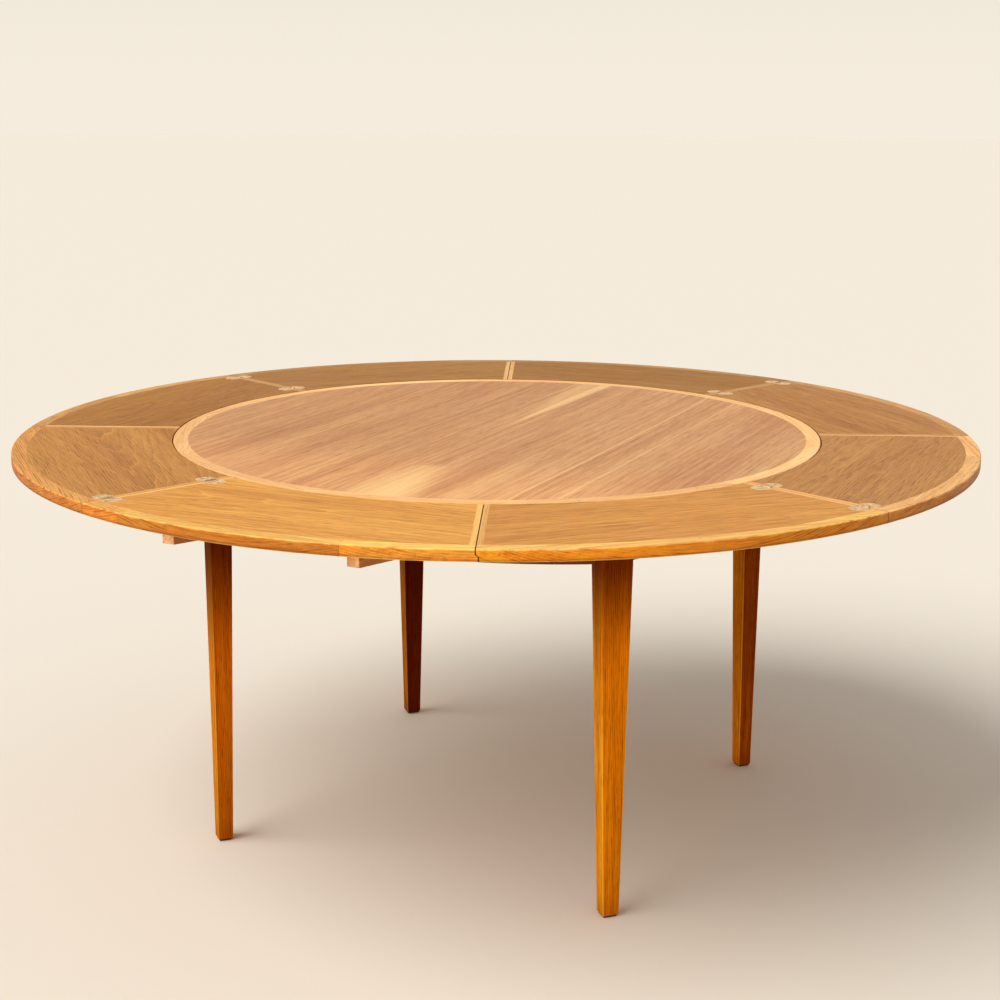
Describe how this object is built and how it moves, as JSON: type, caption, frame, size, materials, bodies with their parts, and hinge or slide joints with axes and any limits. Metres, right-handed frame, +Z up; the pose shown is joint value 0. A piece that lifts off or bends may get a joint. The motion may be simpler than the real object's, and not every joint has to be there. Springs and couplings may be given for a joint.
{
  "type": "round extending table",
  "caption": "Round extending wooden table: a floating centre disc inside a ring of hinged leaves that fold over and draw out on sloping bearers, on square tapered legs.",
  "frame": {"origin": "on the floor under the centre of the disc", "axes": "+Z up, -Y out of the front carried leaf, +X out of the right carried leaf"},
  "size_m": [1.662, 1.662, 0.6972],
  "materials": {
    "disc_veneer": "satin oiled veneer, straight grain with a pale streak",
    "leaf_veneer": "satin oiled oak veneer",
    "lipping": "satin oiled solid oak",
    "frame_oak": "satin oiled solid oak",
    "bearer_wood": "planed solid hardwood",
    "hinge_metal": "worn brushed plate",
    "glide": "dark glide pads"
  },
  "bodies": {
    "frame": {"leg_left": "frame_oak", "leg_front": "frame_oak", "leg_right": "frame_oak", "leg_back": "frame_oak", "apron_front": "frame_oak", "apron_right": "frame_oak", "apron_back": "frame_oak", "apron_left": "frame_oak", "cross_rail_lower": "frame_oak", "cross_rail_upper": "frame_oak", "leg_glides": "glide", "loper_guides": "bearer_wood", "keeper_straps": "hinge_metal"},
    "centre_top": {"centre_panel": "disc_veneer", "centre_lipping": "lipping", "guide_posts": "bearer_wood", "post_collars": "bearer_wood"},
    "leaf_front": {"leaf_panel_front": "leaf_veneer", "leaf_lipping_front": "lipping", "lopers_front": "bearer_wood", "loper_pegs_front": "bearer_wood", "leaf_hinges_front": "hinge_metal", "hinge_pins_front": "hinge_metal"},
    "flap_front": {"flap_panel_front": "leaf_veneer", "flap_lipping_front": "lipping", "flap_hinges_front": "hinge_metal"},
    "leaf_right": {"leaf_panel_right": "leaf_veneer", "leaf_lipping_right": "lipping", "lopers_right": "bearer_wood", "loper_pegs_right": "bearer_wood", "leaf_hinges_right": "hinge_metal", "hinge_pins_right": "hinge_metal"},
    "flap_right": {"flap_panel_right": "leaf_veneer", "flap_lipping_right": "lipping", "flap_hinges_right": "hinge_metal"},
    "leaf_back": {"leaf_panel_back": "leaf_veneer", "leaf_lipping_back": "lipping", "lopers_back": "bearer_wood", "loper_pegs_back": "bearer_wood", "leaf_hinges_back": "hinge_metal", "hinge_pins_back": "hinge_metal"},
    "flap_back": {"flap_panel_back": "leaf_veneer", "flap_lipping_back": "lipping", "flap_hinges_back": "hinge_metal"},
    "leaf_left": {"leaf_panel_left": "leaf_veneer", "leaf_lipping_left": "lipping", "lopers_left": "bearer_wood", "loper_pegs_left": "bearer_wood", "leaf_hinges_left": "hinge_metal", "hinge_pins_left": "hinge_metal"},
    "flap_left": {"flap_panel_left": "leaf_veneer", "flap_lipping_left": "lipping", "flap_hinges_left": "hinge_metal"}
  },
  "joints": [
    {"name": "centre_lift", "type": "slide", "parent": "frame", "child": "centre_top", "axis": [0, 0, 1], "range_m": [0, 0.04]},
    {"name": "draw_front", "type": "slide", "parent": "frame", "child": "leaf_front", "axis": [0, -0.9919, 0.1274], "range_m": [0, 0.012]},
    {"name": "fold_front", "type": "hinge", "parent": "leaf_front", "child": "flap_front", "pos_m": [-0.26684, -0.64422, 0.6952], "axis": [0.3827, 0.9239, 0], "range_deg": [0, 180]},
    {"name": "draw_right", "type": "slide", "parent": "frame", "child": "leaf_right", "axis": [0.9919, 0, 0.1274], "range_m": [0, 0.012]},
    {"name": "fold_right", "type": "hinge", "parent": "leaf_right", "child": "flap_right", "pos_m": [0.64422, -0.26684, 0.6952], "axis": [-0.9239, 0.3827, 0], "range_deg": [0, 180]},
    {"name": "draw_back", "type": "slide", "parent": "frame", "child": "leaf_back", "axis": [0, 0.9919, 0.1274], "range_m": [0, 0.012]},
    {"name": "fold_back", "type": "hinge", "parent": "leaf_back", "child": "flap_back", "pos_m": [0.26684, 0.64422, 0.6952], "axis": [-0.3827, -0.9239, 0], "range_deg": [0, 180]},
    {"name": "draw_left", "type": "slide", "parent": "frame", "child": "leaf_left", "axis": [-0.9919, 0, 0.1274], "range_m": [0, 0.012]},
    {"name": "fold_left", "type": "hinge", "parent": "leaf_left", "child": "flap_left", "pos_m": [-0.64422, 0.26684, 0.6952], "axis": [0.9239, -0.3827, 0], "range_deg": [0, 180]}
  ]
}
